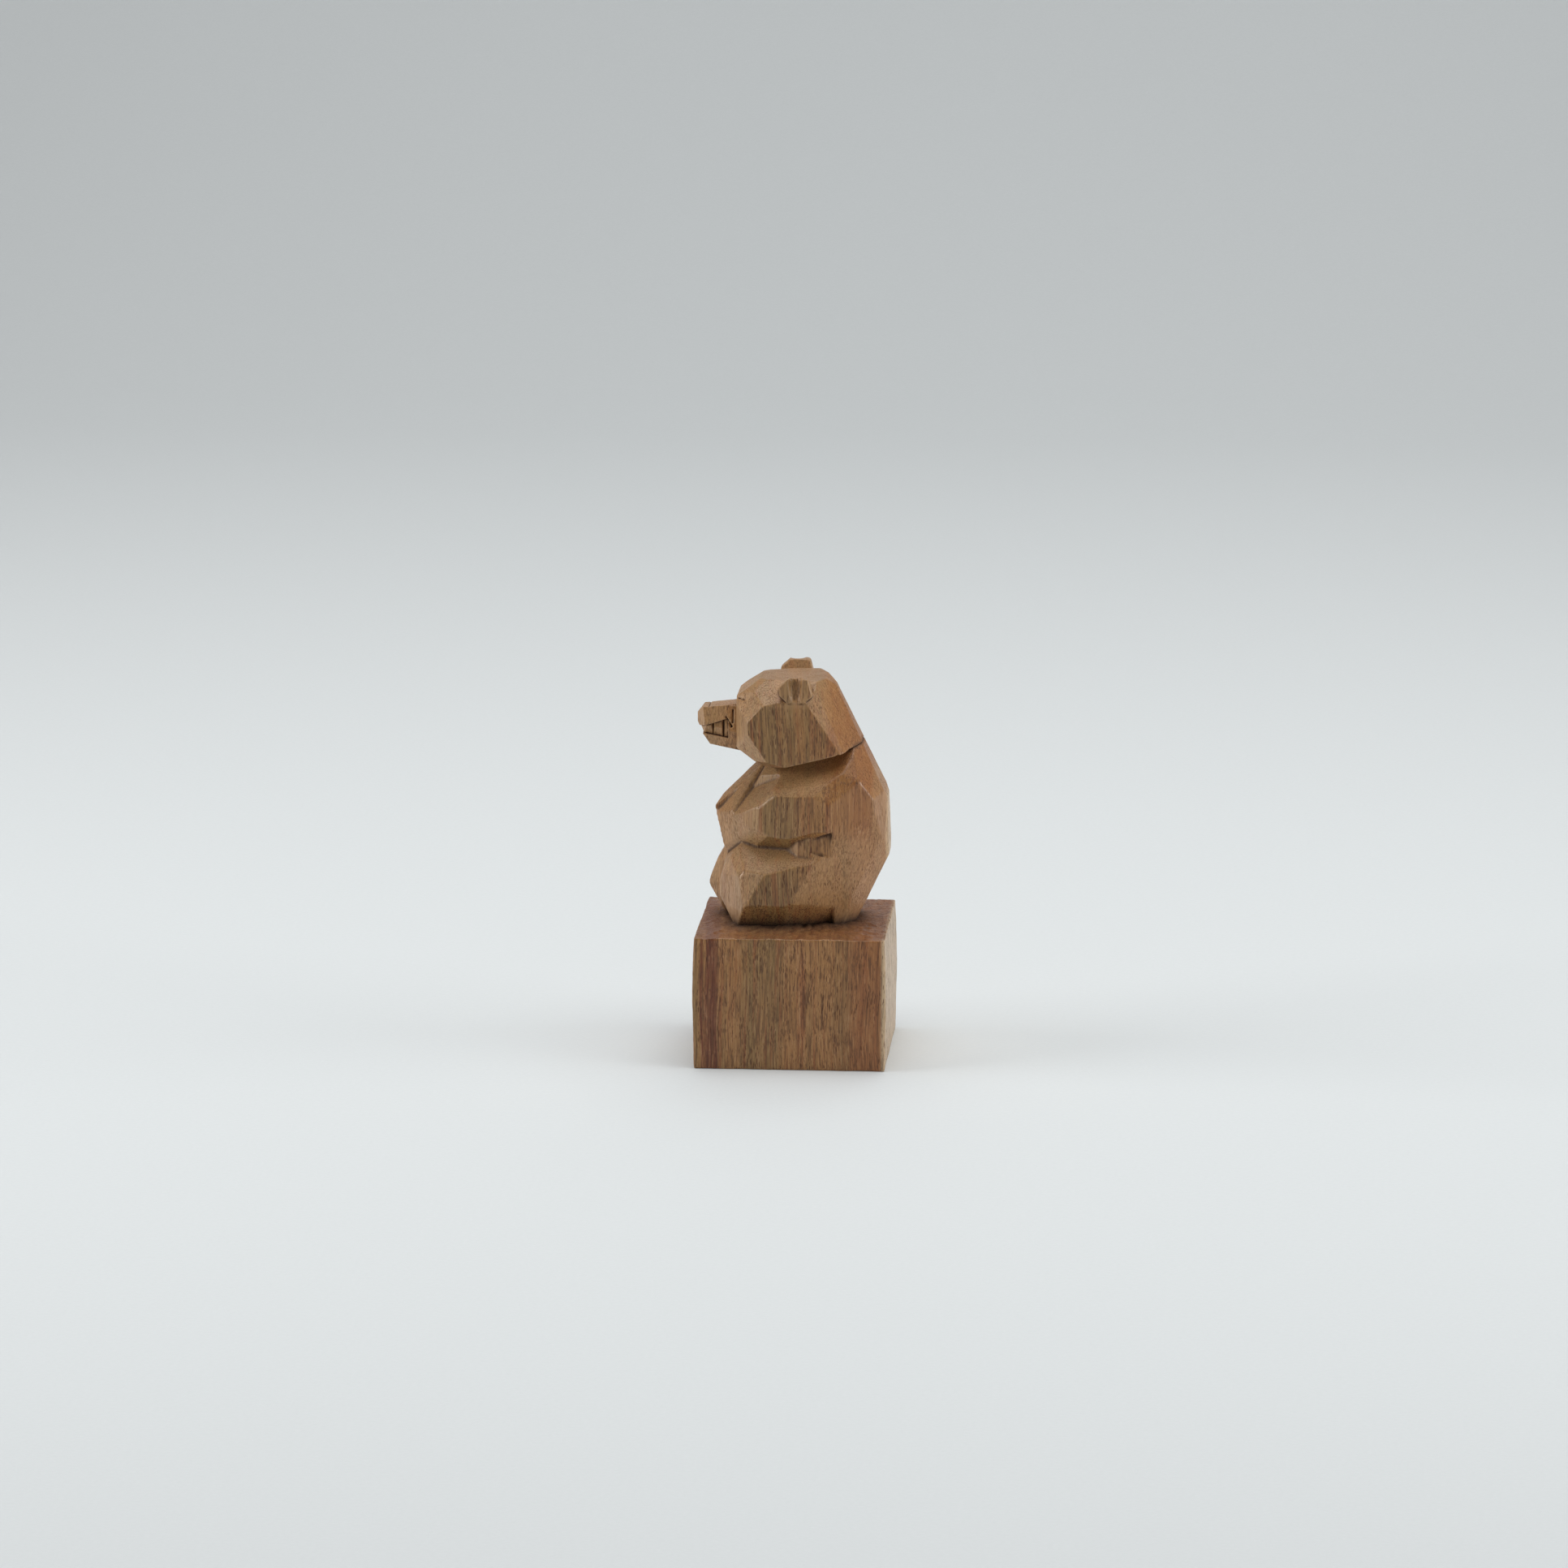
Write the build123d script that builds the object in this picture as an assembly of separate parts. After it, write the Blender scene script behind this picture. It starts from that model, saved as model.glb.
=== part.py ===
from build123d import *
import math
import os

os.makedirs("parts", exist_ok=True)

# Sitting bear carved with a knife from one upright block of wood, on a square plinth
# that is the uncut foot of the same block. Sizes in millimetres.
# +Z is up, the bear looks along -X, its left side is -Y. The origin is the middle of
# the underside of the plinth.

# Plinth
PLINTH_LENGTH = 50.6
PLINTH_WIDTH = 50.0
PLINTH_HEIGHT = 35.5
PLINTH_PARING = 0.4
TOP_FALL = 0.5

# Body of the bear, from the plinth to the stop cut at the neck
BODY_LENGTH = 44.0
BODY_WIDTH = 35.0
BODY_HEIGHT = 50.0
BODY_SETBACK = 3.0
NECK_RISE = 14.0

# Head
HEAD_LENGTH = 34.0
HEAD_WIDTH = 30.0
HEAD_HEIGHT = 25.0
HEAD_SETBACK = 1.0

# Muzzle, measured forward from the face
MUZZLE_LENGTH = 11.0
MUZZLE_WIDTH = 9.6
MUZZLE_HEIGHT = 12.4
TOOTH_SETBACK = 0.9

# Ears
EAR_LENGTH = 8.4
EAR_THICKNESS = 5.2
EAR_HEIGHT = 6.4
EAR_SPREAD = 26.0
EAR_STAGGER = 1.4
EAR_SCOOP = 3.5

# Arms and legs
ARM_LENGTH = 44.0
ARM_HEIGHT = 0.52 * BODY_HEIGHT
LEG_LENGTH = 36.0
LEG_HEIGHT = 0.52 * BODY_HEIGHT
LIMB_WIDTH = 18.0
CHIP_DEPTH = 1.9

# Places worked out from the sizes above
SEAT_Z = PLINTH_HEIGHT
BODY_CENTRE = (BODY_SETBACK, 0.0, SEAT_Z + 0.43 * BODY_HEIGHT)
BODY_SEMI = (BODY_LENGTH / 2, BODY_WIDTH / 2, BODY_HEIGHT / 2)
NECK_Z = SEAT_Z + 0.87 * BODY_HEIGHT
HEAD_CENTRE = (HEAD_SETBACK, 0.0, NECK_Z + 0.44 * HEAD_HEIGHT)
HEAD_SEMI = (HEAD_LENGTH / 2, HEAD_WIDTH / 2, HEAD_HEIGHT / 2)
FACE_X = HEAD_SETBACK - 0.965 * HEAD_LENGTH / 2
MUZZLE_CENTRE = (FACE_X - 0.42 * MUZZLE_LENGTH, 0.0, HEAD_CENTRE[2] - 0.24 * HEAD_HEIGHT / 2)
MUZZLE_SEMI = (MUZZLE_LENGTH * 0.55, MUZZLE_WIDTH / 2, MUZZLE_HEIGHT / 2)
ARM_CENTRE = (BODY_SETBACK - 4.0, -LIMB_WIDTH / 2, SEAT_Z + 0.61 * BODY_HEIGHT)
ARM_SEMI = (ARM_LENGTH / 2, LIMB_WIDTH / 2, ARM_HEIGHT / 2)
LEG_CENTRE = (BODY_SETBACK - 8.0, -LIMB_WIDTH / 2, SEAT_Z + 0.48 * LEG_HEIGHT)
LEG_SEMI = (LEG_LENGTH / 2, LIMB_WIDTH / 2, LEG_HEIGHT / 2)


def knife_plane(centre, semi, turn, tilt, reach):
    """Plane of one flat knife cut on a form.

    Turn is the compass direction the facet faces: 0 forward, 90 to the bear's left,
    180 to the back. Tilt is how far it leans up (+) or down (-). Reach is its distance
    from the middle of the form, as a share of the form's half sizes.
    """
    a = math.radians(turn)
    b = math.radians(tilt)
    unit = (-math.cos(b) * math.cos(a), -math.cos(b) * math.sin(a), math.sin(b))
    point = [c + s * u * reach for c, s, u in zip(centre, semi, unit)]
    normal = [u / s for s, u in zip(semi, unit)]
    return Plane(origin=Vector(*point), z_dir=Vector(*normal))


def hewn(centre, semi, cuts):
    """Blank about the centre, cut down to one flat facet after another."""
    form = Pos(*centre) * Box(*[2.8 * s for s in semi])
    for turn, tilt, reach in cuts:
        form = split(form, bisect_by=knife_plane(centre, semi, turn, tilt, reach), keep=Keep.BOTTOM)
    return form


def both_sides(cuts):
    """The same cuts on the bear's left and on its right."""
    return cuts + [(-turn, tilt, reach) for turn, tilt, reach in cuts]


def neck_plane():
    """Stop cut under the head, rising toward the back of the neck."""
    rise = math.radians(NECK_RISE)
    return Plane(origin=(0, 0, NECK_Z), z_dir=(-math.sin(rise), 0, math.cos(rise)))


def wedge(mouth, depth, length):
    """V cut of a knife: opening along Z, going down along +Y to its edge, lying along X."""
    profile = Polygon((0, -mouth / 2), (depth, 0), (0, mouth / 2), align=None)
    return extrude(Plane.YZ * profile, length / 2, both=True)


def knife_nick(start, end, inward, mouth, depth):
    """V cut from one point of a surface to another, going in along a direction."""
    along = Vector(*end) - Vector(*start)
    into = Vector(*inward).normalized()
    middle = (Vector(*start) + Vector(*end)) * 0.5 - into * 0.15
    lay = Plane(origin=middle, x_dir=along, z_dir=along.cross(into))
    return lay * wedge(mouth, depth + 0.15, along.length)


def right_side(form):
    return mirror(form, about=Plane.XZ)


def plinth():
    """Square foot of the block: saw-flat underside, sides pared by hand, top cut back."""
    block = Pos(0, 0, PLINTH_HEIGHT / 2) * Box(PLINTH_LENGTH, PLINTH_WIDTH, PLINTH_HEIGHT)
    half = (PLINTH_LENGTH / 2, PLINTH_WIDTH / 2, PLINTH_HEIGHT)
    upper = math.degrees(math.atan2(PLINTH_PARING, 0.35 * PLINTH_HEIGHT))
    lower = -math.degrees(math.atan2(PLINTH_PARING, 0.5 * PLINTH_HEIGHT))
    for side in range(4):
        turn = math.radians(90 * side)
        out = Vector(-math.cos(turn), -math.sin(turn), 0)
        reach = half[side % 2]
        for z, lean in ((0.65 * PLINTH_HEIGHT, upper), (0.4 * PLINTH_HEIGHT, lower)):
            b = math.radians(lean)
            normal = out * math.cos(b) + Vector(0, 0, math.sin(b))
            knife = Plane(origin=out * reach + Vector(0, 0, z), z_dir=normal)
            block = split(block, bisect_by=knife, keep=Keep.BOTTOM)
        fall = math.atan2(TOP_FALL, 0.3 * reach)
        rim = out * (0.74 * reach) + Vector(0, 0, PLINTH_HEIGHT)
        down = out * math.sin(fall) + Vector(0, 0, math.cos(fall))
        block = split(block, bisect_by=Plane(origin=rim, z_dir=down), keep=Keep.BOTTOM)
    return block


def above_seat(form):
    """Cut a form off level with the top of the plinth."""
    return split(form, bisect_by=Plane(origin=(0, 0, SEAT_Z), z_dir=(0, 0, -1)), keep=Keep.BOTTOM)


def below_neck(form):
    return split(form, bisect_by=neck_plane(), keep=Keep.BOTTOM)


def cut_down(form, centre, semi, cuts):
    """Further knife cuts on a form, set out about another form's middle."""
    for turn, tilt, reach in cuts:
        form = split(form, bisect_by=knife_plane(centre, semi, turn, tilt, reach), keep=Keep.BOTTOM)
    return form


# Facets that run on from a limb into the body, so that both are cut to the same plane
SHOULDER_CUTS = [
    (105, 24, 1.152),   # side of the shoulder
    (116, 42, 1.229),   # rear of the shoulder
]
HIP_CUTS = [
    (121, -17, 0.91),   # hip
    (130, -15, 0.919),  # hip turning to the back
    (90, -42, 1.137),   # undercut above the plinth
]
FLANK_CUTS = [
    (121, -2, 0.997),   # flank turning to the back
]
ARM_TOP_CUTS = [
    (55, 43, 0.725),    # top of the shoulder
    (49, 52, 0.68),     # top of the elbow
]
HEAD_BACK_CUTS = [
    (180, 19, 0.76),    # back of the head and nape
    (158, 20, 0.766),   # left side of the nape
    (-158, 20, 0.766),  # right side of the nape
]


def torso_form():
    """Back, flanks and belly, from the seat to the stop cut at the neck."""
    cuts = both_sides(SHOULDER_CUTS + HIP_CUTS + FLANK_CUTS + [
        (90, 0, 1.0),       # flank
        (163, 5, 1.03),     # corner of the back
        (148, -22, 0.933),  # rump
        (69, 0, 0.815),     # side of the belly
        (40, 0, 0.6),       # front of the belly
        (27, 55, 0.923),    # breast
    ]) + [
        (180, 31, 1.147),   # nape
        (180, 2, 0.99),     # middle of the back
        (180, -29, 0.935),  # seat
        (0, 32, 0.83),      # chest
    ]
    form = hewn(BODY_CENTRE, BODY_SEMI, cuts)
    form = cut_down(form, HEAD_CENTRE, HEAD_SEMI, HEAD_BACK_CUTS)
    form = cut_down(form, ARM_CENTRE, ARM_SEMI, ARM_TOP_CUTS)
    form = right_side(cut_down(right_side(form), ARM_CENTRE, ARM_SEMI, ARM_TOP_CUTS))
    form = above_seat(below_neck(form))
    for chip in (elbow_chip(), hip_undercut()):
        form = form - chip - right_side(chip)
    return form - neck_groove()


def head_form():
    """Skull and cheeks, without muzzle or ears."""
    cuts = both_sides([
        (90, 0, 1.0),       # cheek
        (24, -1, 1.083),    # front of the cheek
        (42, -20, 1.214),   # lower front of the cheek
        (50, -57, 1.246),   # jowl
        (42, 26, 1.107),    # temple toward the eye
        (69, 49, 1.022),    # upper temple
        (38, 51, 1.064),    # brow
        (88, 45, 1.03),     # side of the crown
        (132, 18, 0.948),   # behind the ear
    ]) + [
        (0, 0, 0.94),       # face
        (0, 46, 1.0),       # forehead
        (0, 90, 0.84),      # crown
        (180, 41, 0.872),   # back of the crown
        (0, -50, 1.063),    # underside of the chin
    ] + HEAD_BACK_CUTS
    form = hewn(HEAD_CENTRE, HEAD_SEMI, cuts)
    return split(form, bisect_by=neck_plane(), keep=Keep.TOP) - eye_cuts() - neck_groove()


def eye_cuts():
    """Short knife cut for each half-closed eye."""
    z = HEAD_CENTRE[2] + 0.436 * HEAD_HEIGHT / 2
    inner = (FACE_X + 0.7, -0.49 * HEAD_WIDTH / 2, z + 0.1)
    outer = (FACE_X + 2.9, -0.645 * HEAD_WIDTH / 2, z - 0.1)
    near = knife_nick(inner, outer, (0.59, 0.61, -0.53), 0.7, 0.9)
    return near + right_side(near)


def neck_groove():
    """Stop cut that shows as a groove where the back of the head runs on into the nape."""
    rise = math.tan(math.radians(NECK_RISE))
    front = HEAD_SETBACK + 0.63 * HEAD_LENGTH / 2
    rear = HEAD_SETBACK + 0.97 * HEAD_LENGTH / 2
    start = (front, -1.03 * HEAD_WIDTH / 2, NECK_Z + front * rise)
    end = (rear, -0.43 * HEAD_WIDTH / 2, NECK_Z + rear * rise)
    near = knife_nick(start, end, (-0.72, 0.45, -0.1), 1.0, 0.8)
    return near + right_side(near)


def jaw_nicks():
    """Small cuts round the muzzle: its root, the corner of the mouth, the brow and the nose."""
    z = MUZZLE_CENTRE[2]
    y = MUZZLE_WIDTH / 2
    h = MUZZLE_SEMI[2]
    root_top = (FACE_X - 0.8, -0.85 * y, z + 0.78 * h)
    root_foot = (FACE_X - 0.8, -1.04 * y, z + 0.2 * h)
    root = knife_nick(root_top, root_foot, (0, 1, 0), 0.9, 0.7)
    corner_front = (FACE_X - 2.7, -0.98 * y, z + 0.48 * h)
    corner_back = (FACE_X - 0.9, -1.04 * y, z)
    corner = knife_nick(corner_front, corner_back, (0, 1, 0), 1.0, 1.1)
    brow_front = (FACE_X - 1.7, -0.78 * y, z + 0.96 * h)
    brow_back = (FACE_X + 0.2, -0.8 * y, z + 0.96 * h)
    brow = knife_nick(brow_front, brow_back, (0, 1, -0.5), 0.6, 0.6)
    side = root + corner + brow
    nose_x = FACE_X - 0.65 * MUZZLE_LENGTH
    nose_left = (nose_x, -0.8 * y, z + 0.87 * h)
    nose_right = (nose_x, 0.8 * y, z + 0.87 * h)
    nose = knife_nick(nose_left, nose_right, (0, 0, -1), 0.8, 0.4)
    return side + right_side(side) + nose


def jaw_block():
    """Upper and lower jaw together, standing out from the face."""
    cuts = both_sides([
        (83, 17, 0.962),    # side of the nose
        (22, 0, 0.889),     # side of the nose tip
        (76, -27, 0.906),   # side of the jaw
    ]) + [
        (0, 84, 0.9),       # bridge of the nose
        (0, 42, 1.06),      # top of the nose tip
        (0, 0, 0.95),       # nose tip
        (0, -32, 0.74),     # lip and front of the chin
        (0, -80, 0.83),     # underside of the jaw
    ]
    form = hewn(MUZZLE_CENTRE, MUZZLE_SEMI, cuts)
    behind = Plane(origin=(FACE_X + 0.3 * HEAD_LENGTH, 0, 0), z_dir=(1, 0, 0))
    return split(form, bisect_by=behind, keep=Keep.BOTTOM) - jaw_nicks()


def lip_plane(height, rise):
    """Cut along a lip, given its height at the front of the muzzle and its rise."""
    a = math.radians(rise)
    front = MUZZLE_CENTRE[0] - MUZZLE_SEMI[0] / 2
    z = MUZZLE_CENTRE[2] + height * MUZZLE_SEMI[2]
    return Plane(origin=(front, 0, z), z_dir=(-math.sin(a), 0, math.cos(a)))


def upper_lip():
    return lip_plane(0.09, 18)


def lower_lip():
    return lip_plane(-0.31, -10)


def mouth_corner():
    x = MUZZLE_CENTRE[0] + 0.44 * MUZZLE_SEMI[0]
    return Plane(origin=(x, 0, 0), z_dir=(1, 0, 0))


def teeth_form(jaws):
    """Row of teeth set back behind the lips, parted by upright knife cuts."""
    row = split(jaws, bisect_by=upper_lip(), keep=Keep.BOTTOM)
    row = split(row, bisect_by=lower_lip(), keep=Keep.TOP)
    row = split(row, bisect_by=mouth_corner(), keep=Keep.BOTTOM)
    box = row.bounding_box()
    for side in (-TOOTH_SETBACK, TOOTH_SETBACK):
        row = row & (Pos(0.3 * TOOTH_SETBACK, side, 0) * jaws)
    for share in (0.14, 0.48, 0.83):
        x = box.min.X + share * box.size.X
        half = box.size.Y / 2 - TOOTH_SETBACK
        gap = Pos(x, -half - 0.1, box.center().Z) * Rot(0, 90, 0) * wedge(0.9, 2.4, 12.0)
        row = row - gap - right_side(gap)
    return row


def ear_form(lead):
    """Left ear: a thick rounded lobe, its outer face gouged to a hollow that is open at the tip."""
    x = HEAD_SETBACK - 0.9 - lead
    centre = (x, -EAR_SPREAD / 2, HEAD_CENTRE[2] + 0.725 * HEAD_HEIGHT / 2)
    semi = (EAR_LENGTH / 2, EAR_THICKNESS / 2, EAR_HEIGHT / 2)
    lobe = hewn(centre, semi, [
        (90, 0, 1.0),       # outer face
        (-90, 0, 1.0),      # root, inside the head
        (-90, 28, 0.6),     # inner face
        (0, 0, 1.0),        # front edge
        (0, 40, 0.96),      # front of the tip
        (0, 90, 1.0),       # tip
        (180, 60, 1.2),     # rear of the tip
        (180, 11, 1.0),     # rear edge
        (180, -44, 1.1),    # rear of the lobe
        (0, -90, 1.0),      # underside
        (0, -40, 1.0),      # front of the lobe
    ])
    gouge = Pos(x + 0.15, centre[1] - semi[1] - 0.3 * EAR_SCOOP / 2, centre[2])
    gouge = gouge * Rot(-14, 0, 0) * Cylinder(EAR_SCOOP / 2, 2 * EAR_HEIGHT)
    return lobe - gouge


def breast_hollow():
    """V hollow cut down between the two forearms to the chest."""
    blank = Pos(*BODY_CENTRE) * Box(*[2.8 * s for s in BODY_SEMI])
    for turn, tilt, reach in ((102, 26, 0.283), (19, 47, 0.85)):
        wall = knife_plane(BODY_CENTRE, BODY_SEMI, turn, tilt, reach)
        blank = split(blank, bisect_by=wall, keep=Keep.TOP)
    return blank


def elbow_chip():
    """Three-cornered chip taken out of the left flank between elbow and thigh."""
    tip = (BODY_SETBACK - 6.0, SEAT_Z + 0.435 * BODY_HEIGHT)
    upper = (BODY_SETBACK + 7.7, SEAT_Z + 0.53 * BODY_HEIGHT)
    lower = (BODY_SETBACK + 7.4, SEAT_Z + 0.385 * BODY_HEIGHT)
    outline = Polygon(tip, lower, upper, align=None)
    floor = Pos(0, CHIP_DEPTH - BODY_WIDTH / 2, 0)
    return floor * extrude(Plane.XZ * outline, 3 * CHIP_DEPTH)


def arm_form(forearm_cuts):
    """Left arm folded across the chest, hand at the middle line."""
    form = hewn(ARM_CENTRE, ARM_SEMI, ARM_TOP_CUTS + forearm_cuts + [
        (90, 0, 0.944),     # outside of the shoulder
        (59, 0, 0.656),     # outside of the arm
        (25, 0, 0.551),     # side of the wrist
        (27, -27, 0.65),    # under the hand
        (50, -53, 0.74),    # under the forearm
        (105, -57, 0.80),   # under the elbow
        (180, 0, 0.59),     # end of the arm, in the flank
        (-90, 0, 1.0),      # middle line
    ])
    return below_neck(cut_down(form, BODY_CENTRE, BODY_SEMI, SHOULDER_CUTS + FLANK_CUTS)) - elbow_chip()


def hip_undercut():
    """Knife cut under the left hip, just above the plinth, that stops short of the rump."""
    blank = Pos(*BODY_CENTRE) * Box(*[2.8 * s for s in BODY_SEMI])
    blank = split(blank, bisect_by=knife_plane(BODY_CENTRE, BODY_SEMI, 116, -42, 0.996), keep=Keep.TOP)
    stop = Plane(origin=(BODY_SETBACK + 7.6, 0, 0), z_dir=(1, 0, 0))
    return split(blank, bisect_by=stop, keep=Keep.BOTTOM)


def leg_form(foot_cuts):
    """Left leg drawn up against the belly, sole to the middle line."""
    form = hewn(LEG_CENTRE, LEG_SEMI, foot_cuts + [
        (90, 0, 0.944),     # outside of the thigh
        (52, 56, 0.61),     # top of the thigh
        (63, 60, 0.665),    # top of the hip
        (48, 15, 0.79),     # outside of the knee
        (180, 0, 0.9),      # end of the thigh, in the hip
        (-90, 0, 1.0),      # middle line
    ])
    form = cut_down(form, BODY_CENTRE, BODY_SEMI, HIP_CUTS + FLANK_CUTS)
    return above_seat(form) - elbow_chip() - hip_undercut()


torso = torso_form()
head = head_form()
hollow = breast_hollow()
left_arm = arm_form([
    (21, 27, 0.52),     # top of the forearm
    (18, -7, 0.575),    # back of the hand
    (12, 27, 0.515),    # knuckles
]) - torso - hollow
right_arm = right_side(arm_form([
    (21, 26, 0.74),     # top of the forearm
    (18, -7, 0.575),    # back of the hand
    (12, 27, 0.67),     # knuckles
    (-8, 34, 0.84),     # inner top of the forearm
])) - torso - hollow
left_leg = leg_form([
    (19, 23, 0.645),    # top of the knee
    (13, 8, 0.626),     # knee
    (14, 0, 0.625),     # shin
    (2, 31, 0.755),     # inside of the knee
    (2, 11, 0.748),     # inside of the shin
    (2, 0, 0.795),      # toes
    (2, -25, 0.93),     # under the toes
]) - torso - left_arm
right_leg = right_side(leg_form([
    (0, 22, 0.878),     # top of the knee
    (0, 15, 0.9),       # knee
    (0, -27, 1.068),    # sole
    (19, 23, 0.83),     # top of the shin
    (18, -9, 0.87),     # shin
    (-14, 12, 0.996),   # inside of the knee
    (-25, 4, 1.106),    # inside of the foot
])) - torso - right_arm

jaws = jaw_block() - head
teeth = teeth_form(jaws)
cheeks = split(jaws, bisect_by=upper_lip(), keep=Keep.BOTTOM)
cheeks = split(cheeks, bisect_by=lower_lip(), keep=Keep.TOP)
cheeks = split(cheeks, bisect_by=mouth_corner(), keep=Keep.TOP)
muzzle = split(jaws, bisect_by=upper_lip(), keep=Keep.TOP) + cheeks
lower_jaw = split(jaws, bisect_by=lower_lip(), keep=Keep.BOTTOM)
left_ear = ear_form(-EAR_STAGGER / 2) - head
right_ear = right_side(ear_form(EAR_STAGGER / 2)) - head

pieces = {
    "plinth": plinth(),
    "torso": torso,
    "head": head,
    "muzzle": muzzle,
    "teeth": teeth,
    "lower_jaw": lower_jaw,
    "left_ear": left_ear,
    "right_ear": right_ear,
    "left_arm": left_arm,
    "right_arm": right_arm,
    "left_leg": left_leg,
    "right_leg": right_leg,
}

for node, piece in pieces.items():
    export_step(piece, f"parts/{node}.step")
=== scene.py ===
import math

import bmesh
import bpy
import numpy as np
from mathutils import Matrix, Vector, noise
from mathutils.bvhtree import BVHTree


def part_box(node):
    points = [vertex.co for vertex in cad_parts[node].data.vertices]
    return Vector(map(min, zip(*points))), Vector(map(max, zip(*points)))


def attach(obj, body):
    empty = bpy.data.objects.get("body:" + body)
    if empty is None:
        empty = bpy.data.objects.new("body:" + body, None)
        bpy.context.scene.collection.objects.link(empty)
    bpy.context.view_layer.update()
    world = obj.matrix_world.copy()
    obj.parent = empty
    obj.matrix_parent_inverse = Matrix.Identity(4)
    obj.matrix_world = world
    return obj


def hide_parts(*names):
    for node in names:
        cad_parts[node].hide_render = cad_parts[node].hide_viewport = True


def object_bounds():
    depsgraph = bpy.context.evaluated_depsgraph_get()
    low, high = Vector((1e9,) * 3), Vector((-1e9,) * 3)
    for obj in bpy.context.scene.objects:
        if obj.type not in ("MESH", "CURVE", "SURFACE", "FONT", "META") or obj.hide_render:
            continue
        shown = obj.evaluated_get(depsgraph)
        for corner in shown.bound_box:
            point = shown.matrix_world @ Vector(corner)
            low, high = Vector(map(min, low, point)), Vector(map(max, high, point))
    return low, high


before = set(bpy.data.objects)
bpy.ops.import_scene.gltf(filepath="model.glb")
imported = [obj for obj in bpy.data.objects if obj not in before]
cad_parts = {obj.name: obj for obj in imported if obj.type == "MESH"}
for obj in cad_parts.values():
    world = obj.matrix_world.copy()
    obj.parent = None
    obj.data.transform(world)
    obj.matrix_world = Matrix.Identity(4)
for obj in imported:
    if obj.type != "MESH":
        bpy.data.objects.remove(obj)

MM = 0.001
SMOOTHING_ROUNDS = 3
RELIEF_WIDTH = 0.7 * MM
BODY_NODES = ["torso", "left_arm", "right_arm", "left_leg", "right_leg"]
HEAD_NODES = ["head", "left_ear", "right_ear"]
JAW_NODES = ["muzzle", "teeth", "lower_jaw"]

cad_low, cad_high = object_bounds()
cad_box = [list(cad_low), list(cad_high)]


# ---------------------------------------------------------------- meshes

def joined(name, nodes):
    """Copy of some CAD nodes' meshes in one new object."""
    bm = bmesh.new()
    for node in nodes:
        bm.from_mesh(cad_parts[node].data)
    bmesh.ops.remove_doubles(bm, verts=bm.verts, dist=1e-7)
    mesh = bpy.data.meshes.new(name)
    bm.to_mesh(mesh)
    bm.free()
    piece = bpy.data.objects.new(name, mesh)
    bpy.context.scene.collection.objects.link(piece)
    return piece


def baked(piece):
    """Applies a piece's modifiers to its mesh."""
    depsgraph = bpy.context.evaluated_depsgraph_get()
    mesh = bpy.data.meshes.new_from_object(piece.evaluated_get(depsgraph))
    piece.modifiers.clear()
    piece.data = mesh


def skin_points(mesh):
    """Points of a mesh as rows of x, y, z."""
    points = np.empty(len(mesh.vertices) * 3)
    mesh.vertices.foreach_get("co", points)
    return points.reshape(-1, 3)


def skin_normals(mesh):
    """Outward directions at the points of a mesh."""
    normals = np.empty(len(mesh.vertices) * 3)
    mesh.vertex_normals.foreach_get("vector", normals)
    return normals.reshape(-1, 3)


def evened(mesh, points, rounds):
    """Points of a skin after each has moved half way to the mean of its neighbours, some rounds."""
    count = len(points)
    pairs = np.empty(len(mesh.edges) * 2, dtype=np.int64)
    mesh.edges.foreach_get("vertices", pairs)
    pairs = pairs.reshape(-1, 2)
    degree = np.bincount(pairs.ravel(), minlength=count).astype(float)
    even = points.copy()
    for _ in range(rounds):
        total = np.empty_like(even)
        for axis in range(3):
            total[:, axis] = np.bincount(pairs[:, 0], even[pairs[:, 1], axis], count)
            total[:, axis] += np.bincount(pairs[:, 1], even[pairs[:, 0], axis], count)
        even = 0.5 * even + 0.5 * total / degree[:, None]
    return even


def moved_to(mesh, points):
    """Puts a mesh's points where the rows say."""
    mesh.vertices.foreach_set("co", points.astype(np.float32).ravel())
    mesh.update()


def remeshed(piece, voxel):
    """Fuses overlapping and touching shells into one closed skin of small even quads."""
    modifier = piece.modifiers.new("skin", "REMESH")
    modifier.mode = "VOXEL"
    modifier.voxel_size = voxel
    modifier.adaptivity = 0.0
    baked(piece)
    moved_to(piece.data, evened(piece.data, skin_points(piece.data), SMOOTHING_ROUNDS))


def hand_worked(piece, depth, length):
    """Moves the skin in and out a little, as knife cuts are never quite flat or quite smooth."""
    mesh = piece.data
    points = skin_points(mesh)
    normals = skin_normals(mesh)
    moves = np.empty(len(points))
    for i, p in enumerate(points):
        q = Vector(p) / length
        wave = noise.noise(q) + 0.45 * noise.noise(q * 2.3 + Vector((7.1, 3.3, 5.7)))
        ripple = noise.noise(Vector(p) / (0.16 * length) + Vector((1.7, 9.2, 4.4)))
        moves[i] = depth * (wave + 0.15 * ripple)
    points += normals * moves[:, None]
    points[:, 2] = np.maximum(points[:, 2], 0.0)
    moved_to(mesh, points)


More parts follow.
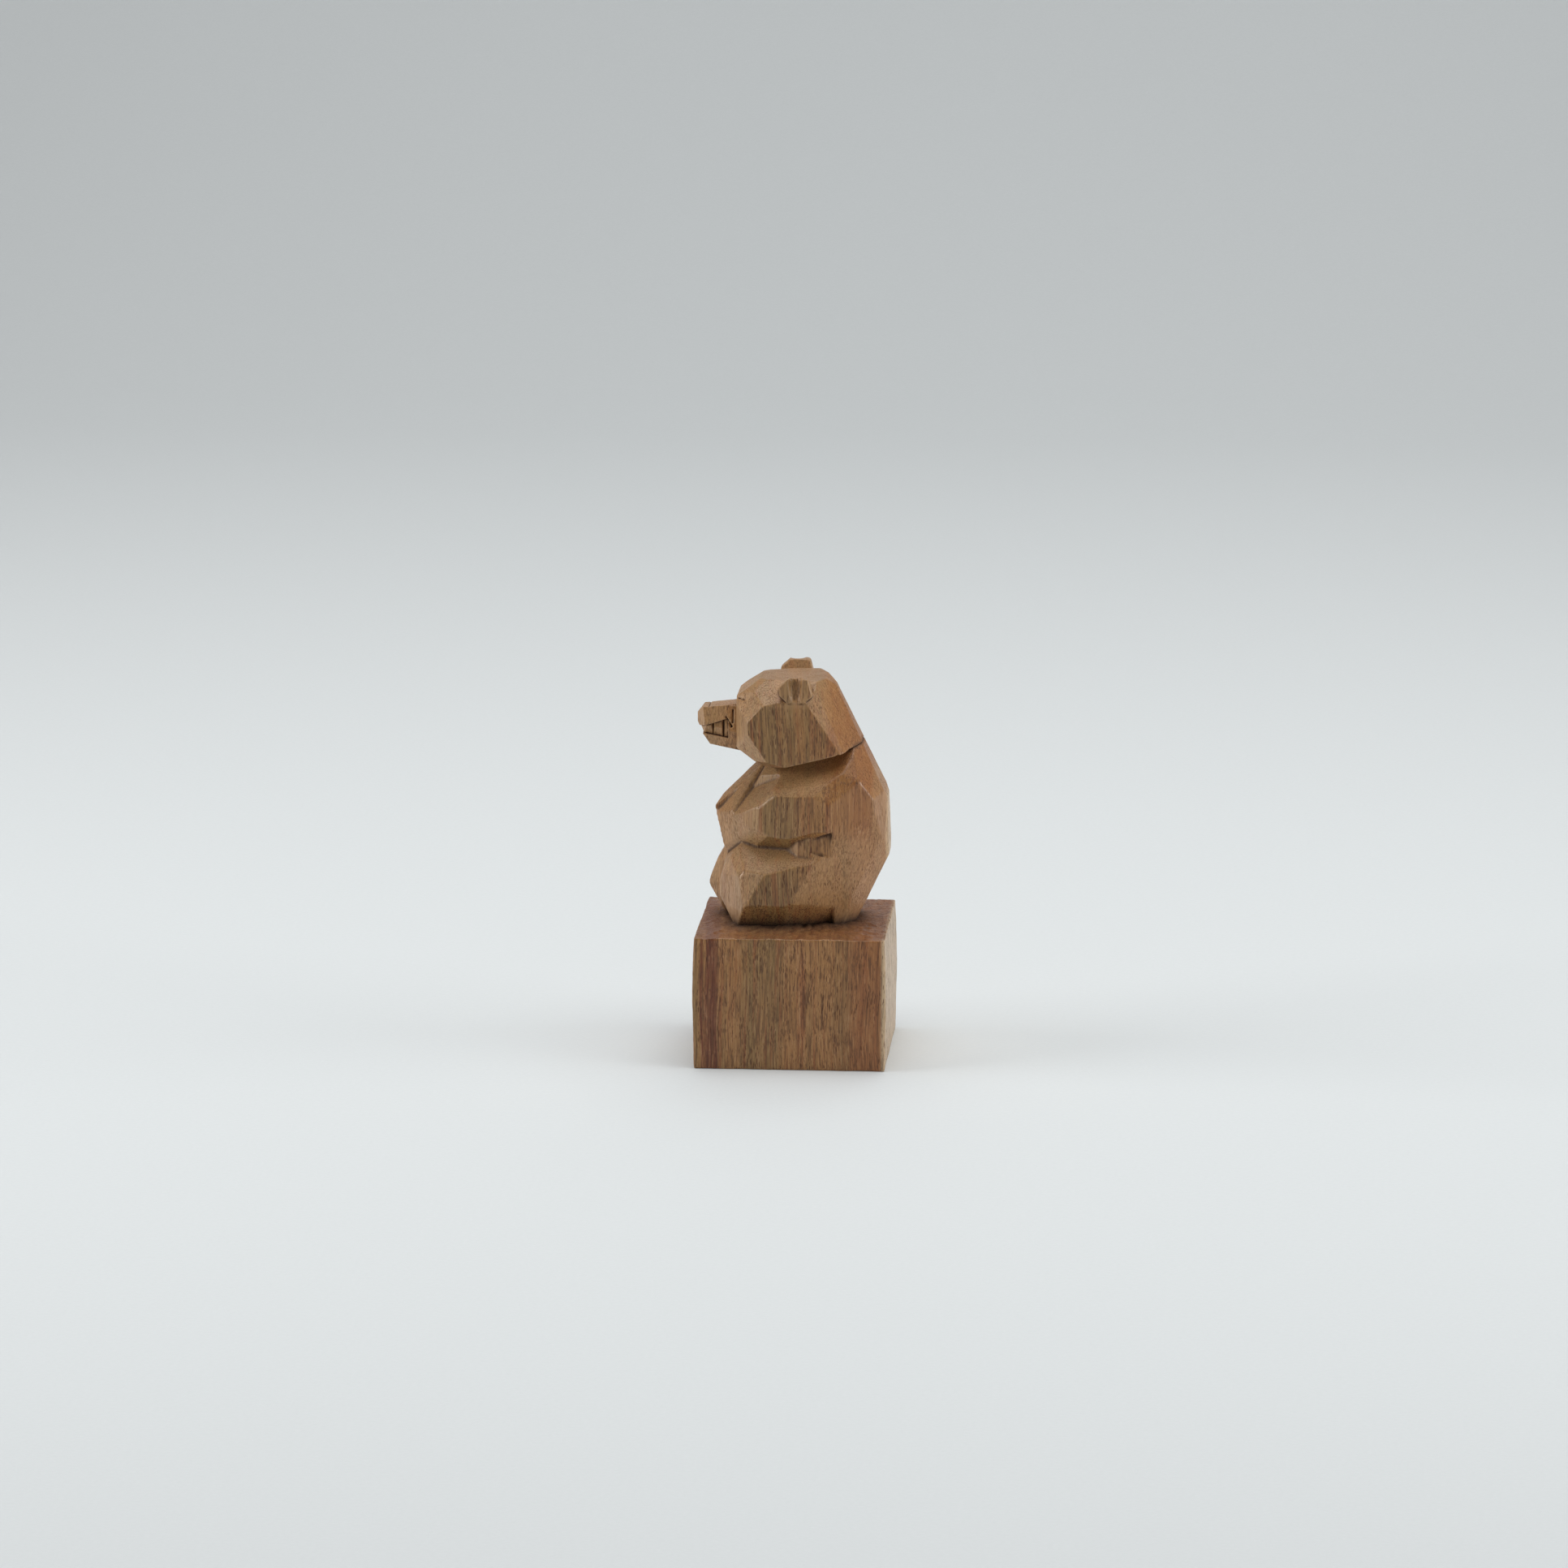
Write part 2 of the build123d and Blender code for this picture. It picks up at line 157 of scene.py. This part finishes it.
def gouged_top(piece, centre, depth, step):
    """Gouge strokes round a centre on the face that looks up, and a step of wood left at the seat."""
    mesh = piece.data
    points = skin_points(mesh)
    normals = skin_normals(mesh)
    near = np.empty(len(points), dtype=np.float32)
    mesh.attributes["near"].data.foreach_get("value", near)
    for i in np.nonzero(normals[:, 2] > 0.7)[0]:
        x, y = (points[i, 0] - centre[0]) / MM, (points[i, 1] - centre[1]) / MM
        around = math.atan2(y, x) * 9.0
        outward = math.hypot(x, y)
        q = Vector((around * 0.8, outward * 0.24, 2.5))
        stroke = abs(noise.noise(q)) + 0.5 * abs(noise.noise(q * 2.1 + Vector((3.0, 8.0, 1.0))))
        points[i, 2] += depth * (0.35 - 2.0 * stroke) + step * near[i] ** 2
    moved_to(mesh, points)


def relief(piece, name, rounds):
    """Stores how far each point lies under (+) or above (-) the evened-out skin, in mm."""
    mesh = piece.data
    points = skin_points(mesh)
    depth = ((evened(mesh, points, rounds) - points) * skin_normals(mesh)).sum(axis=1) / MM
    layer = mesh.attributes.new(name, "FLOAT", "POINT")
    layer.data.foreach_set("value", depth.astype(np.float32))


def nearness(piece, *neighbours):
    """Stores how close each point lies to neighbours (piece, reach): 1 touching, 0 beyond reach."""
    near = np.zeros(len(piece.data.vertices), dtype=np.float32)
    for other, reach in neighbours:
        bm = bmesh.new()
        bm.from_mesh(other.data)
        tree = BVHTree.FromBMesh(bm)
        bm.free()
        for i, vertex in enumerate(piece.data.vertices):
            found = tree.find_nearest(vertex.co, reach)
            if found[0] is not None:
                near[i] = max(near[i], 1.0 - found[3] / reach)
    layer = piece.data.attributes.new("near", "FLOAT", "POINT")
    layer.data.foreach_set("value", near)


def shaded_smooth(piece):
    """Lets light run over a piece's small faces without steps."""
    piece.data.polygons.foreach_set("use_smooth", [True] * len(piece.data.polygons))
    piece.data.update()


# ---------------------------------------------------------------- wood

OLIVE = (0.262, 0.146, 0.050, 1)
TAN = (0.370, 0.178, 0.060, 1)
RUSSET = (0.290, 0.100, 0.030, 1)
HEARTWOOD = (0.150, 0.032, 0.010, 1)
SAPWOOD = (0.60, 0.45, 0.28, 1)
# Dark fibre colour, also used as the painted shade in wide hollows
DARK_FIBRE_AND_SHADE = (0.050, 0.017, 0.006, 1)
PALE_FIBRE = (0.50, 0.30, 0.145, 1)
# Pale colour: painted sheen on slanted facets, also the paler tone of the muzzle tip and ears
PALE_SHEEN_AND_TONE = (0.49, 0.285, 0.130, 1)
NAPE = (0.330, 0.138, 0.042, 1)
PORE = (0.080, 0.027, 0.009, 1)
END_GRAIN = (0.230, 0.090, 0.036, 1)
RING_LINE = (0.110, 0.032, 0.012, 1)
WORN_ARRIS = (0.46, 0.29, 0.15, 1)
# Crease colour: part dust, part painted shade
CREASE_DUST_AND_SHADE = (0.045, 0.017, 0.007, 1)
# Painted contact shadow where pieces meet
CONTACT_SHADOW = (0.022, 0.008, 0.004, 1)

# Levels in the block, in millimetres
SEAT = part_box("plinth")[1].z / MM
BACK_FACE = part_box("plinth")[1].x / MM
JAW_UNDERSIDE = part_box("lower_jaw")[0].z / MM
MUZZLE_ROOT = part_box("muzzle")[1].x / MM
EAR_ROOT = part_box("left_ear")[0].z / MM
PITH_DISTANCE = 26.0
RING_BOW = 0.0022
HEART_RING = -20.9


class Graph:
    """Short hand for building a material's nodes."""

    def __init__(self, material):
        self.tree = material.node_tree
        self.tree.nodes.clear()

    def node(self, kind, **settings):
        made = self.tree.nodes.new(kind)
        for key, value in settings.items():
            setattr(made, key, value)
        return made

    def put(self, socket, value):
        if isinstance(value, bpy.types.NodeSocket):
            self.tree.links.new(value, socket)
        else:
            socket.default_value = value

    def math(self, operation, a, b=0.0):
        made = self.node("ShaderNodeMath", operation=operation)
        self.put(made.inputs[0], a)
        self.put(made.inputs[1], b)
        return made.outputs[0]

    def product(self, first, *others):
        for other in others:
            first = self.math("MULTIPLY", first, other)
        return first

    def most(self, first, *others):
        for other in others:
            first = self.math("MAXIMUM", first, other)
        return first

    def stretched(self, x, y, z, scales):
        """A place for a texture, each axis scaled on its own."""
        made = self.node("ShaderNodeCombineXYZ")
        for socket, value, scale in zip(made.inputs, (x, y, z), scales):
            self.put(socket, self.product(value, scale))
        return made.outputs[0]

    def moved(self, place, step):
        made = self.node("ShaderNodeVectorMath", operation="ADD")
        self.put(made.inputs[0], place)
        self.put(made.inputs[1], step)
        return made.outputs[0]

    def noise(self, place, scale=1.0, detail=2.0, rough=0.5):
        made = self.node("ShaderNodeTexNoise")
        self.put(made.inputs["Vector"], place)
        self.put(made.inputs["Scale"], scale)
        self.put(made.inputs["Detail"], detail)
        self.put(made.inputs["Roughness"], rough)
        return made.outputs[0]

    def cells(self, place, scale):
        """Distance from the nearest of many scattered points."""
        made = self.node("ShaderNodeTexVoronoi", feature="F1")
        self.put(made.inputs["Vector"], place)
        self.put(made.inputs["Scale"], scale)
        return made.outputs["Distance"]

    def band(self, value, low, high, out_low=0.0, out_high=1.0):
        """Smooth step of a value from one level to another."""
        made = self.node("ShaderNodeMapRange", interpolation_type="SMOOTHSTEP")
        for socket, number in zip(made.inputs, (value, low, high, out_low, out_high)):
            self.put(socket, number)
        return made.outputs[0]

    def mix(self, share, a, b):
        made = self.node("ShaderNodeMix", data_type="RGBA")
        self.put(made.inputs[0], share)
        self.put(made.inputs[6], a)
        self.put(made.inputs[7], b)
        return made.outputs[2]

    def attribute(self, name):
        return self.node("ShaderNodeAttribute", attribute_name=name).outputs["Fac"]

    def surface(self, shader):
        out = self.node("ShaderNodeOutputMaterial")
        self.put(out.inputs["Surface"], shader.outputs[0])


def block_place(g):
    """Position in the block in millimetres."""
    scale = g.node("ShaderNodeVectorMath", operation="SCALE")
    g.put(scale.inputs[0], g.node("ShaderNodeTexCoord").outputs["Object"])
    scale.inputs["Scale"].default_value = 1 / MM
    split = g.node("ShaderNodeSeparateXYZ")
    g.put(split.inputs[0], scale.outputs[0])
    return split.outputs


def wandered(g, x, y, z):
    """X and Y followed along a grain that wanders slowly on its way up the block."""
    slow = g.stretched(x, y, z, (0.03, 0.03, 0.035))
    wander_x = g.math("SUBTRACT", g.noise(slow, detail=1.0), 0.5)
    wander_y = g.math("SUBTRACT", g.noise(g.moved(slow, (11.0, 4.0, 7.0)), detail=1.0), 0.5)
    gx = g.math("ADD", x, g.product(wander_x, 3.0))
    gy = g.math("ADD", y, g.product(wander_y, 3.0))
    return gx, gy


def pore_marks(g, gx, gy, z):
    """Open pores: long tubes along the grain, so dashes on upright faces and dots on end grain."""
    place = g.stretched(gx, gy, z, (1.0, 1.0, 0.14))
    crowding = g.noise(g.stretched(gx, gy, z, (0.3, 0.3, 0.1)))
    radius = g.band(crowding, 0.38, 0.62, 0.17, 0.31)
    wide = g.math("SUBTRACT", g.cells(place, 2.3), radius)
    narrow = g.math("SUBTRACT", g.cells(g.moved(place, (3.1, 8.7, 1.9)), 4.0), radius)
    return g.most(g.band(wide, -0.05, 0.06, 1.0, 0.0), g.band(narrow, -0.08, 0.05, 0.8, 0.0))


def wood(name):
    """Bare coarse-pored hardwood, grain upright, the same block whichever piece it covers."""
    material = bpy.data.materials.new(name)
    material.use_nodes = True
    g = Graph(material)
    x, y, z = block_place(g)
    gx, gy = wandered(g, x, y, z)

    # Distance across the growth rings, which run nearly along Y
    bow = g.math("POWER", g.math("ADD", gy, PITH_DISTANCE), 2.0)
    ring = g.math("ADD", gx, g.product(bow, RING_BOW))

    # Broad bands of colour, streaks and single fibres, all drawn out along the grain
    broad = g.noise(g.stretched(ring, gy, z, (0.16, 0.01, 0.006)), rough=0.6)
    streak = g.noise(g.stretched(ring, gy, z, (0.9, 0.25, 0.02)), detail=3.0, rough=0.62)
    fibre = g.noise(g.stretched(gx, gy, z, (2.6, 2.6, 0.09)), detail=3.0, rough=0.65)
    colour = g.mix(g.band(broad, 0.40, 0.60), OLIVE, TAN)
    colour = g.mix(g.band(streak, 0.48, 0.68, 0.0, 0.8), colour, RUSSET)
    colour = g.mix(g.band(ring, 10.0, 19.0, 0.0, 0.6), colour, RUSSET)

    # Dark streak of heartwood near the front of the block, and pale sapwood at its back
    ragged = g.product(g.math("SUBTRACT", streak, 0.5), 9.0)
    off_heart = g.math("SUBTRACT", g.math("ADD", ring, ragged), HEART_RING)
    heart_band = g.band(g.math("ABSOLUTE", off_heart), 0.2, 3.2, 0.9, 0.0)
    low_down = g.band(z, SEAT + 0.5, SEAT + 10.5, 1.0, 0.0)
    colour = g.mix(g.product(heart_band, low_down), colour, HEARTWOOD)
    colour = g.mix(g.band(x, BACK_FACE - 1.6, BACK_FACE - 0.8, 0.0, 0.8), colour, SAPWOOD)

    # Facets that tilt up or turn sideways are painted paler, a painted sheen; the muzzle tip and the
    # ears are coloured paler too, and the nape more orange
    normal = g.node("ShaderNodeSeparateXYZ")
    g.put(normal.inputs[0], g.node("ShaderNodeNewGeometry").outputs["Normal"])
    turned = g.math("ABSOLUTE", normal.outputs["X"])
    # Painted sheen: facets facing up or sideways are made paler, as where light falls on them
    sheen_slant = g.most(g.band(normal.outputs["Z"], 0.12, 0.40), g.band(turned, 0.22, 0.46))
    sheen_slant = g.product(sheen_slant, g.band(z, SEAT - 0.5, SEAT + 1.5))
    forward = g.band(x, MUZZLE_ROOT - 4.0, MUZZLE_ROOT - 1.5, 1.0, 0.0)
    nose = g.product(forward, g.band(z, JAW_UNDERSIDE - 3.7, JAW_UNDERSIDE - 1.2))
    high = g.most(nose, g.band(z, EAR_ROOT - 2.4, EAR_ROOT - 0.4, 0.0, 0.6))
    nape = g.product(
        g.band(ring, 7.0, 12.0),
        g.band(z, SEAT + 20.5, SEAT + 28.5),
        g.band(x, 20.0, 21.5, 1.0, 0.0),
    )
    # Painted sheen on slanted facets, plus the paler muzzle tip and ears
    sheen_and_pale_tips = g.most(g.product(sheen_slant, 0.42), g.product(high, 0.62))
    colour = g.mix(sheen_and_pale_tips, colour, g.mix(nape, PALE_SHEEN_AND_TONE, NAPE))

    # Fibres and pores, calmer on the facets painted paler as sheen and at the paler muzzle tip and ears
    sheen_calm = g.math("SUBTRACT", 1.0, g.product(g.most(sheen_slant, high), 0.38))
    colour = g.mix(g.product(sheen_calm, g.band(fibre, 0.44, 0.66, 0.0, 0.62)), colour, DARK_FIBRE_AND_SHADE)
    colour = g.mix(g.band(fibre, 0.30, 0.46, 0.42, 0.0), colour, PALE_FIBRE)
    pores = pore_marks(g, gx, gy, z)
    colour = g.mix(g.product(sheen_calm, pores, 0.78), colour, PORE)

    # End grain drinks in oil and dirt, so faces across the grain are redder and show ring lines
    level = g.band(g.math("ABSOLUTE", normal.outputs["Z"]), 0.80, 1.0, 0.0, 0.5)
    across = g.product(level, g.band(z, SEAT - 0.5, SEAT + 2.5, 1.0, 0.3))
    colour = g.mix(across, colour, END_GRAIN)
    phase = g.math("ADD", g.product(ring, 2.6), g.product(streak, 14.0))
    lines = g.band(g.math("SINE", phase), 0.1, 0.9)
    lines = g.product(lines, g.band(z, SEAT - 1.5, SEAT + 2.5, 1.0, 0.2), across, 0.9)
    colour = g.mix(lines, colour, RING_LINE)

    # Arrises rubbed paler; wide hollows get painted shade, creases are darkened as dust and painted
    # shade, and painted contact shadow lies where pieces meet
    fine = g.attribute("fine_relief")
    near = g.attribute("near")
    worn = g.product(g.band(fine, -0.10, -0.03, 0.42, 0.0), g.band(streak, 0.42, 0.6, 0.15, 1.0))
    colour = g.mix(worn, colour, WORN_ARRIS)
    # Painted shade: wide hollows darkened, as shade falls in them
    hollow_shade = g.band(g.attribute("wide_relief"), 0.05, 0.35, 0.0, 0.50)
    colour = g.mix(hollow_shade, colour, DARK_FIBRE_AND_SHADE)
    # Creases darkened: part dust, part painted shade
    crease_dust_and_shade = g.band(fine, 0.010, 0.075)
    colour = g.mix(g.product(crease_dust_and_shade, 0.82), colour, CREASE_DUST_AND_SHADE)
    # Painted contact shadow: darker where a piece lies near another
    colour = g.mix(g.product(g.math("POWER", near, 1.7), 0.9), colour, CONTACT_SHADOW)

    shader = g.node("ShaderNodeBsdfPrincipled")
    g.put(shader.inputs["Base Color"], colour)
    satin = g.band(fibre, 0.3, 0.7, 0.32, 0.44)
    dull = g.math("ADD", g.product(pores, 0.4), g.product(g.most(crease_dust_and_shade, near), 0.45))
    g.put(shader.inputs["Roughness"], g.math("ADD", satin, dull))
    shader.inputs["IOR"].default_value = 1.5
    shader.inputs["Specular IOR Level"].default_value = 0.5

    bump = g.node("ShaderNodeBump")
    bump.inputs["Strength"].default_value = 0.55
    bump.inputs["Distance"].default_value = 0.12 * MM
    g.put(bump.inputs["Height"], g.math("SUBTRACT", g.product(fibre, 0.12), g.product(pores, 0.9)))
    g.put(shader.inputs["Normal"], bump.outputs[0])
    g.surface(shader)
    return material


def covered(piece, material):
    """Gives a piece one material."""
    piece.data.materials.clear()
    piece.data.materials.append(material)


# ---------------------------------------------------------------- the figure

def carved(name, nodes, voxel, depth, length):
    """One carved piece of the block, standing for its CAD nodes, with waves of that depth and length."""
    piece = joined(name, nodes)
    remeshed(piece, voxel)
    rounds = int((RELIEF_WIDTH / voxel) ** 2) + 1
    relief(piece, "fine_relief", rounds)
    relief(piece, "wide_relief", 9 * rounds)
    hand_worked(piece, depth, length)
    shaded_smooth(piece)
    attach(piece, "root")
    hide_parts(*nodes)
    return piece


body = carved("body_carved", BODY_NODES, 0.325 * MM, 0.06 * MM, 5.0 * MM)
head = carved("head_carved", HEAD_NODES, 0.22 * MM, 0.05 * MM, 4.0 * MM)
jaws = carved("jaws_carved", JAW_NODES, 0.12 * MM, 0.03 * MM, 2.0 * MM)
plinth = carved("plinth_carved", ["plinth"], 0.36 * MM, 0.16 * MM, 8.0 * MM)
# Nearness to the neighbouring pieces raises the plinth's step at the seat and sets where the painted
# contact shadow falls
nearness(plinth, (body, 6 * MM))
gouged_top(plinth, (3 * MM, 0), depth=0.32 * MM, step=0.9 * MM)
nearness(body, (plinth, 4.5 * MM), (head, 1.2 * MM))
nearness(head, (body, 1.4 * MM))
nearness(jaws, (head, 0.5 * MM))
carved_wood = wood("carved_wood")
for piece in (body, head, jaws, plinth):
    covered(piece, carved_wood)


# ---------------------------------------------------------------- studio

PAPER_REACH = 3.0
PAPER_LEVEL_END = 1.0
PAPER_RADIUS = 1.2
PAPER_HEIGHT = 4.0
PAPER_STEPS = 24
PAPER_DARKER = (0.735, 0.765, 0.770, 1)
PAPER_LIGHTER = (0.775, 0.805, 0.810, 1)
ROOM_COLOUR = (0.96, 0.98, 1.0, 1)
ROOM_STRENGTH = 0.13


def sweep():
    """Pale paper that runs level under the object and curves up far behind it."""
    profile = [(-PAPER_REACH, 0.0), (PAPER_LEVEL_END, 0.0)]
    for step in range(1, PAPER_STEPS + 1):
        a = math.radians(90 * step / PAPER_STEPS)
        y = PAPER_LEVEL_END + PAPER_RADIUS * math.sin(a)
        profile.append((y, PAPER_RADIUS * (1 - math.cos(a))))
    profile.append((PAPER_LEVEL_END + PAPER_RADIUS, PAPER_HEIGHT))
    verts = []
    for y, z in profile:
        verts += [(-PAPER_REACH, y, z), (PAPER_REACH, y, z)]
    faces = [(2 * i, 2 * i + 1, 2 * i + 3, 2 * i + 2) for i in range(len(profile) - 1)]
    mesh = bpy.data.meshes.new("floor")
    mesh.from_pydata(verts, [], faces)
    floor = bpy.data.objects.new("floor", mesh)
    bpy.context.scene.collection.objects.link(floor)
    shaded_smooth(floor)
    paper = bpy.data.materials.new("paper")
    paper.use_nodes = True
    g = Graph(paper)
    shader = g.node("ShaderNodeBsdfPrincipled")
    grain = g.noise(g.node("ShaderNodeTexCoord").outputs["Object"], 900.0)
    g.put(shader.inputs["Base Color"], g.mix(grain, PAPER_DARKER, PAPER_LIGHTER))
    shader.inputs["Roughness"].default_value = 0.7
    shader.inputs["Specular IOR Level"].default_value = 0.2
    g.surface(shader)
    covered(floor, paper)


def softbox(name, place, target, size, power):
    """A white area light at a place, facing a target."""
    light = bpy.data.lights.new(name, "AREA")
    light.shape = "RECTANGLE"
    light.size, light.size_y = size
    light.energy = power
    made = bpy.data.objects.new(name, light)
    made.location = place
    made.rotation_euler = (Vector(target) - Vector(place)).to_track_quat("-Z", "Y").to_euler()
    bpy.context.scene.collection.objects.link(made)


sweep()
softbox("paper_light", (0, 1.6, 1.4), (0, 1.65, 0), (1.6, 0.8), 3.4)
softbox("top_light", (0.1, 0.05, 1.25), (0, 0, 0.05), (1.5, 1.2), 13.5)
softbox("right_light", (1.2, -0.15, 0.25), (0, 0, 0.06), (0.9, 0.4), 6.8)
softbox("left_light", (-1.2, -0.25, 0.48), (0, 0, 0.06), (0.9, 0.6), 8.0)

world = bpy.data.worlds.new("studio")
world.use_nodes = True
room = world.node_tree.nodes["Background"]
room.inputs["Color"].default_value = ROOM_COLOUR
room.inputs["Strength"].default_value = ROOM_STRENGTH
bpy.context.scene.world = world


# ---------------------------------------------------------------- camera

AZIMUTH = math.radians(4.2)
ELEVATION = math.radians(11.9)
DISTANCE = 2.0
LENS_MM = 173.7
AIM_FROM_MIDDLE = Vector((-0.0039, 0.0141))
AIM_HEIGHT = 0.0682

low, high = cad_box
middle = Vector([(a + b) / 2 for a, b in zip(low, high)])
aim = Vector((*(middle.xy + AIM_FROM_MIDDLE), low[2] + AIM_HEIGHT))
back = Vector((
    math.sin(AZIMUTH) * math.cos(ELEVATION),
    -math.cos(AZIMUTH) * math.cos(ELEVATION),
    math.sin(ELEVATION),
))
right = Vector((math.cos(AZIMUTH), math.sin(AZIMUTH), 0.0))
up = back.cross(right)
turn = Matrix((right, up, back)).transposed().to_4x4()
lens = bpy.data.cameras.new("camera")
lens.lens = LENS_MM
lens.sensor_width = 36.0
lens.clip_end = 20.0
camera = bpy.data.objects.new("camera", lens)
camera.matrix_world = Matrix.Translation(aim + DISTANCE * back) @ turn
bpy.context.scene.collection.objects.link(camera)
bpy.context.scene.camera = camera
bpy.context.scene.view_settings.view_transform = "Standard"
